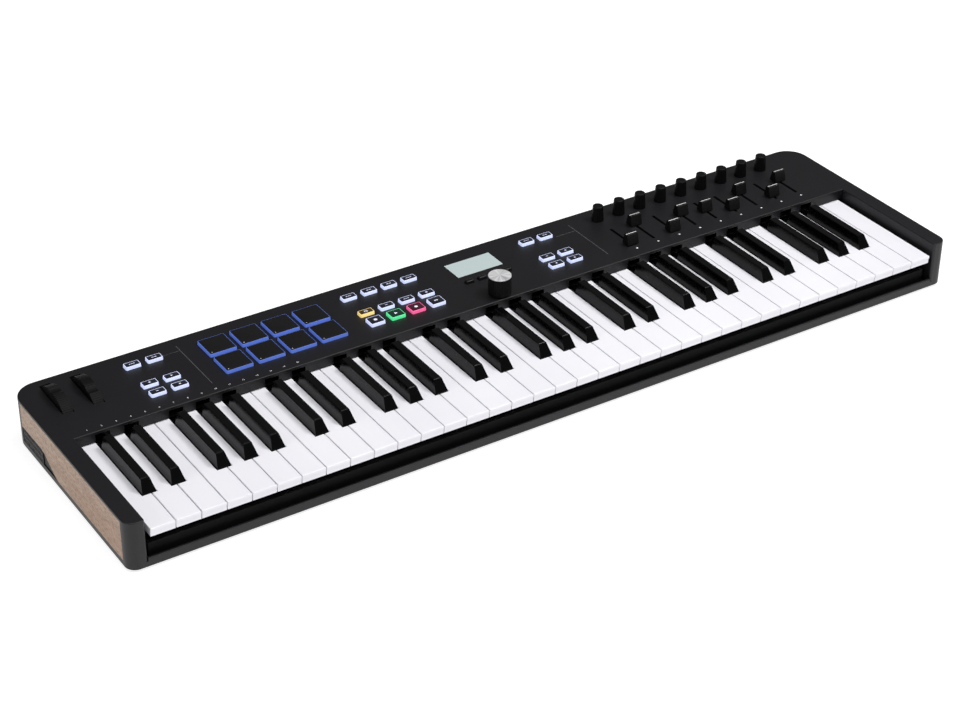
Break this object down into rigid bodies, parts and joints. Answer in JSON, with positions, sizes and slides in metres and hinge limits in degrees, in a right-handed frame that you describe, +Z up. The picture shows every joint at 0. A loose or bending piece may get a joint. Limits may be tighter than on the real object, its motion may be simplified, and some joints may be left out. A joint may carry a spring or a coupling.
{
  "type": "keyboard synthesizer",
  "caption": "Long, low keyboard synthesizer with wooden cheeks, sprung keys, pitch and modulation wheels, drum pads, knobs, faders, a push encoder and a small display",
  "frame": {"origin": "centre of the case's footprint on the surface that the feet stand on", "axes": "+X along the keyboard to the player's right, +Y from the player to the rear panel, +Z up"},
  "size_m": [0.888, 0.24, 0.0697],
  "materials": {
    "case_plastic": "satin dark grey, fine texture",
    "cheek_wood": "pale brown fine-grained wood, oiled",
    "insert_plastic": "ribbed, matte",
    "foot_rubber": "matte",
    "screw_steel": "blackened",
    "chassis_plastic": "moulded",
    "spring_steel": "bright",
    "board_laminate": "green circuit board",
    "dome_rubber": "grey silicone",
    "fader_steel": "plated",
    "encoder_metal": "plated",
    "display_module": "pale backlit panel",
    "display_window": "clear",
    "socket_plastic": "moulded with metal shells",
    "wheel_rubber": "soft-touch, ribbed",
    "shaft_brass": "turned",
    "knob_plastic": "fine ribs",
    "cap_aluminium": "spun",
    "white_key_plastic": "satin white",
    "black_key_plastic": "satin black",
    "button_plastic": "translucent white, lit from below",
    "menu_button_plastic": "matte black",
    "pad_rubber": "matte black with lit sides",
    "fader_cap_plastic": "matte black with a white line"
  },
  "bodies": {
    "case": {"bottom_case": "case_plastic", "top_case": "case_plastic", "wood_cheeks": "cheek_wood", "side_inserts": "insert_plastic", "rubber_feet": "foot_rubber", "case_screws": "screw_steel", "key_chassis": "chassis_plastic", "key_springs": "spring_steel", "key_contact_board": "board_laminate", "contact_strip": "dome_rubber", "wheel_bracket": "chassis_plastic", "fader_bodies": "fader_steel", "rotary_encoders": "encoder_metal", "control_board": "board_laminate", "display_module": "display_module", "display_window": "display_window", "rear_sockets": "socket_plastic", "jack_board": "board_laminate"},
    "keys_c": {"keys_c": "white_key_plastic"},
    "keys_c_sharp": {"keys_c_sharp": "black_key_plastic"},
    "keys_d": {"keys_d": "white_key_plastic"},
    "keys_d_sharp": {"keys_d_sharp": "black_key_plastic"},
    "keys_e": {"keys_e": "white_key_plastic"},
    "keys_f": {"keys_f": "white_key_plastic"},
    "keys_f_sharp": {"keys_f_sharp": "black_key_plastic"},
    "keys_g": {"keys_g": "white_key_plastic"},
    "keys_g_sharp": {"keys_g_sharp": "black_key_plastic"},
    "keys_a": {"keys_a": "white_key_plastic"},
    "keys_a_sharp": {"keys_a_sharp": "black_key_plastic"},
    "keys_b": {"keys_b": "white_key_plastic"},
    "pitch_wheel": {"pitch_wheel": "wheel_rubber"},
    "mod_wheel": {"mod_wheel": "wheel_rubber"},
    "knob_1": {"knob_1": "knob_plastic"},
    "knob_2": {"knob_2": "knob_plastic"},
    "knob_3": {"knob_3": "knob_plastic"},
    "knob_4": {"knob_4": "knob_plastic"},
    "knob_5": {"knob_5": "knob_plastic"},
    "knob_6": {"knob_6": "knob_plastic"},
    "knob_7": {"knob_7": "knob_plastic"},
    "knob_8": {"knob_8": "knob_plastic"},
    "knob_9": {"knob_9": "knob_plastic"},
    "fader_cap_1": {"fader_cap_1": "fader_cap_plastic"},
    "fader_cap_2": {"fader_cap_2": "fader_cap_plastic"},
    "fader_cap_3": {"fader_cap_3": "fader_cap_plastic"},
    "fader_cap_4": {"fader_cap_4": "fader_cap_plastic"},
    "fader_cap_5": {"fader_cap_5": "fader_cap_plastic"},
    "fader_cap_6": {"fader_cap_6": "fader_cap_plastic"},
    "fader_cap_7": {"fader_cap_7": "fader_cap_plastic"},
    "fader_cap_8": {"fader_cap_8": "fader_cap_plastic"},
    "fader_cap_9": {"fader_cap_9": "fader_cap_plastic"},
    "push_shaft": {"push_shaft": "shaft_brass"},
    "encoder_knob": {"encoder_knob": "knob_plastic", "encoder_cap": "cap_aluminium"},
    "left_buttons": {"left_buttons": "button_plastic"},
    "daw_buttons": {"daw_buttons": "button_plastic"},
    "transport_buttons": {"transport_buttons": "button_plastic"},
    "menu_buttons": {"menu_buttons": "menu_button_plastic"},
    "right_buttons": {"right_buttons": "button_plastic"},
    "lower_pads": {"lower_pads": "pad_rubber"},
    "upper_pads": {"upper_pads": "pad_rubber"}
  },
  "joints": [
    {"name": "keys_c_press", "type": "hinge", "parent": "case", "child": "keys_c", "pos_m": [0, 0.041, 0.026], "axis": [1, 0, 0], "range_deg": [0, 3.58], "stiffness_Nm_per_rad": 2, "springref_deg": -5.73},
    {"name": "keys_c_sharp_press", "type": "hinge", "parent": "case", "child": "keys_c_sharp", "pos_m": [0, 0.041, 0.026], "axis": [1, 0, 0], "range_deg": [0, 3.58], "stiffness_Nm_per_rad": 2, "springref_deg": -5.73},
    {"name": "keys_d_press", "type": "hinge", "parent": "case", "child": "keys_d", "pos_m": [0, 0.041, 0.026], "axis": [1, 0, 0], "range_deg": [0, 3.58], "stiffness_Nm_per_rad": 2, "springref_deg": -5.73},
    {"name": "keys_d_sharp_press", "type": "hinge", "parent": "case", "child": "keys_d_sharp", "pos_m": [0, 0.041, 0.026], "axis": [1, 0, 0], "range_deg": [0, 3.58], "stiffness_Nm_per_rad": 2, "springref_deg": -5.73},
    {"name": "keys_e_press", "type": "hinge", "parent": "case", "child": "keys_e", "pos_m": [0, 0.041, 0.026], "axis": [1, 0, 0], "range_deg": [0, 3.58], "stiffness_Nm_per_rad": 2, "springref_deg": -5.73},
    {"name": "keys_f_press", "type": "hinge", "parent": "case", "child": "keys_f", "pos_m": [0, 0.041, 0.026], "axis": [1, 0, 0], "range_deg": [0, 3.58], "stiffness_Nm_per_rad": 2, "springref_deg": -5.73},
    {"name": "keys_f_sharp_press", "type": "hinge", "parent": "case", "child": "keys_f_sharp", "pos_m": [0, 0.041, 0.026], "axis": [1, 0, 0], "range_deg": [0, 3.58], "stiffness_Nm_per_rad": 2, "springref_deg": -5.73},
    {"name": "keys_g_press", "type": "hinge", "parent": "case", "child": "keys_g", "pos_m": [0, 0.041, 0.026], "axis": [1, 0, 0], "range_deg": [0, 3.58], "stiffness_Nm_per_rad": 2, "springref_deg": -5.73},
    {"name": "keys_g_sharp_press", "type": "hinge", "parent": "case", "child": "keys_g_sharp", "pos_m": [0, 0.041, 0.026], "axis": [1, 0, 0], "range_deg": [0, 3.58], "stiffness_Nm_per_rad": 2, "springref_deg": -5.73},
    {"name": "keys_a_press", "type": "hinge", "parent": "case", "child": "keys_a", "pos_m": [0, 0.041, 0.026], "axis": [1, 0, 0], "range_deg": [0, 3.58], "stiffness_Nm_per_rad": 2, "springref_deg": -5.73},
    {"name": "keys_a_sharp_press", "type": "hinge", "parent": "case", "child": "keys_a_sharp", "pos_m": [0, 0.041, 0.026], "axis": [1, 0, 0], "range_deg": [0, 3.58], "stiffness_Nm_per_rad": 2, "springref_deg": -5.73},
    {"name": "keys_b_press", "type": "hinge", "parent": "case", "child": "keys_b", "pos_m": [0, 0.041, 0.026], "axis": [1, 0, 0], "range_deg": [0, 3.58], "stiffness_Nm_per_rad": 2, "springref_deg": -5.73},
    {"name": "pitch_wheel_turn", "type": "hinge", "parent": "case", "child": "pitch_wheel", "pos_m": [-0.4149, 0.0835, 0.0255], "axis": [-1, 0, 0], "range_deg": [-35, 35], "stiffness_Nm_per_rad": 0.05},
    {"name": "mod_wheel_turn", "type": "hinge", "parent": "case", "child": "mod_wheel", "pos_m": [-0.386, 0.0835, 0.0255], "axis": [-1, 0, 0], "range_deg": [-15, 55]},
    {"name": "knob_1_turn", "type": "hinge", "parent": "case", "child": "knob_1", "pos_m": [0.1753, 0.0985, 0.05], "axis": [0, 0, -1], "continuous": true},
    {"name": "knob_2_turn", "type": "hinge", "parent": "case", "child": "knob_2", "pos_m": [0.2012, 0.0985, 0.05], "axis": [0, 0, -1], "continuous": true},
    {"name": "knob_3_turn", "type": "hinge", "parent": "case", "child": "knob_3", "pos_m": [0.2271, 0.0985, 0.05], "axis": [0, 0, -1], "continuous": true},
    {"name": "knob_4_turn", "type": "hinge", "parent": "case", "child": "knob_4", "pos_m": [0.253, 0.0985, 0.05], "axis": [0, 0, -1], "continuous": true},
    {"name": "knob_5_turn", "type": "hinge", "parent": "case", "child": "knob_5", "pos_m": [0.2789, 0.0985, 0.05], "axis": [0, 0, -1], "continuous": true},
    {"name": "knob_6_turn", "type": "hinge", "parent": "case", "child": "knob_6", "pos_m": [0.3048, 0.0985, 0.05], "axis": [0, 0, -1], "continuous": true},
    {"name": "knob_7_turn", "type": "hinge", "parent": "case", "child": "knob_7", "pos_m": [0.3307, 0.0985, 0.05], "axis": [0, 0, -1], "continuous": true},
    {"name": "knob_8_turn", "type": "hinge", "parent": "case", "child": "knob_8", "pos_m": [0.3566, 0.0985, 0.05], "axis": [0, 0, -1], "continuous": true},
    {"name": "knob_9_turn", "type": "hinge", "parent": "case", "child": "knob_9", "pos_m": [0.3825, 0.0985, 0.05], "axis": [0, 0, -1], "continuous": true},
    {"name": "fader_1_slide", "type": "slide", "parent": "case", "child": "fader_cap_1", "axis": [0, 1, 0], "range_m": [0, 0.03]},
    {"name": "fader_2_slide", "type": "slide", "parent": "case", "child": "fader_cap_2", "axis": [0, 1, 0], "range_m": [-0.03, 0]},
    {"name": "fader_3_slide", "type": "slide", "parent": "case", "child": "fader_cap_3", "axis": [0, 1, 0], "range_m": [0, 0.03]},
    {"name": "fader_4_slide", "type": "slide", "parent": "case", "child": "fader_cap_4", "axis": [0, 1, 0], "range_m": [-0.0215, 0.0085]},
    {"name": "fader_5_slide", "type": "slide", "parent": "case", "child": "fader_cap_5", "axis": [0, 1, 0], "range_m": [-0.0155, 0.0145]},
    {"name": "fader_6_slide", "type": "slide", "parent": "case", "child": "fader_cap_6", "axis": [0, 1, 0], "range_m": [-0.004, 0.026]},
    {"name": "fader_7_slide", "type": "slide", "parent": "case", "child": "fader_cap_7", "axis": [0, 1, 0], "range_m": [-0.026, 0.004]},
    {"name": "fader_8_slide", "type": "slide", "parent": "case", "child": "fader_cap_8", "axis": [0, 1, 0], "range_m": [-0.0045, 0.0255]},
    {"name": "fader_9_slide", "type": "slide", "parent": "case", "child": "fader_cap_9", "axis": [0, 1, 0], "range_m": [-0.027, 0.003]},
    {"name": "encoder_push", "type": "slide", "parent": "case", "child": "push_shaft", "axis": [0, 0, -1], "range_m": [0, 0.0008], "stiffness_N_per_m": 600, "springref_m": -0.003},
    {"name": "encoder_turn", "type": "hinge", "parent": "push_shaft", "child": "encoder_knob", "pos_m": [0.0131, 0.0293, 0.05], "axis": [0, 0, -1], "continuous": true},
    {"name": "left_buttons_press", "type": "slide", "parent": "case", "child": "left_buttons", "axis": [0, 0, -1], "range_m": [0, 0.001], "stiffness_N_per_m": 400, "springref_m": -0.003},
    {"name": "daw_buttons_press", "type": "slide", "parent": "case", "child": "daw_buttons", "axis": [0, 0, -1], "range_m": [0, 0.001], "stiffness_N_per_m": 400, "springref_m": -0.003},
    {"name": "transport_buttons_press", "type": "slide", "parent": "case", "child": "transport_buttons", "axis": [0, 0, -1], "range_m": [0, 0.001], "stiffness_N_per_m": 400, "springref_m": -0.003},
    {"name": "menu_buttons_press", "type": "slide", "parent": "case", "child": "menu_buttons", "axis": [0, 0, -1], "range_m": [0, 0.001], "stiffness_N_per_m": 400, "springref_m": -0.003},
    {"name": "right_buttons_press", "type": "slide", "parent": "case", "child": "right_buttons", "axis": [0, 0, -1], "range_m": [0, 0.001], "stiffness_N_per_m": 400, "springref_m": -0.003},
    {"name": "lower_pads_press", "type": "slide", "parent": "case", "child": "lower_pads", "axis": [0, 0, -1], "range_m": [0, 0.0008], "stiffness_N_per_m": 400, "springref_m": -0.003},
    {"name": "upper_pads_press", "type": "slide", "parent": "case", "child": "upper_pads", "axis": [0, 0, -1], "range_m": [0, 0.0008], "stiffness_N_per_m": 400, "springref_m": -0.003}
  ]
}
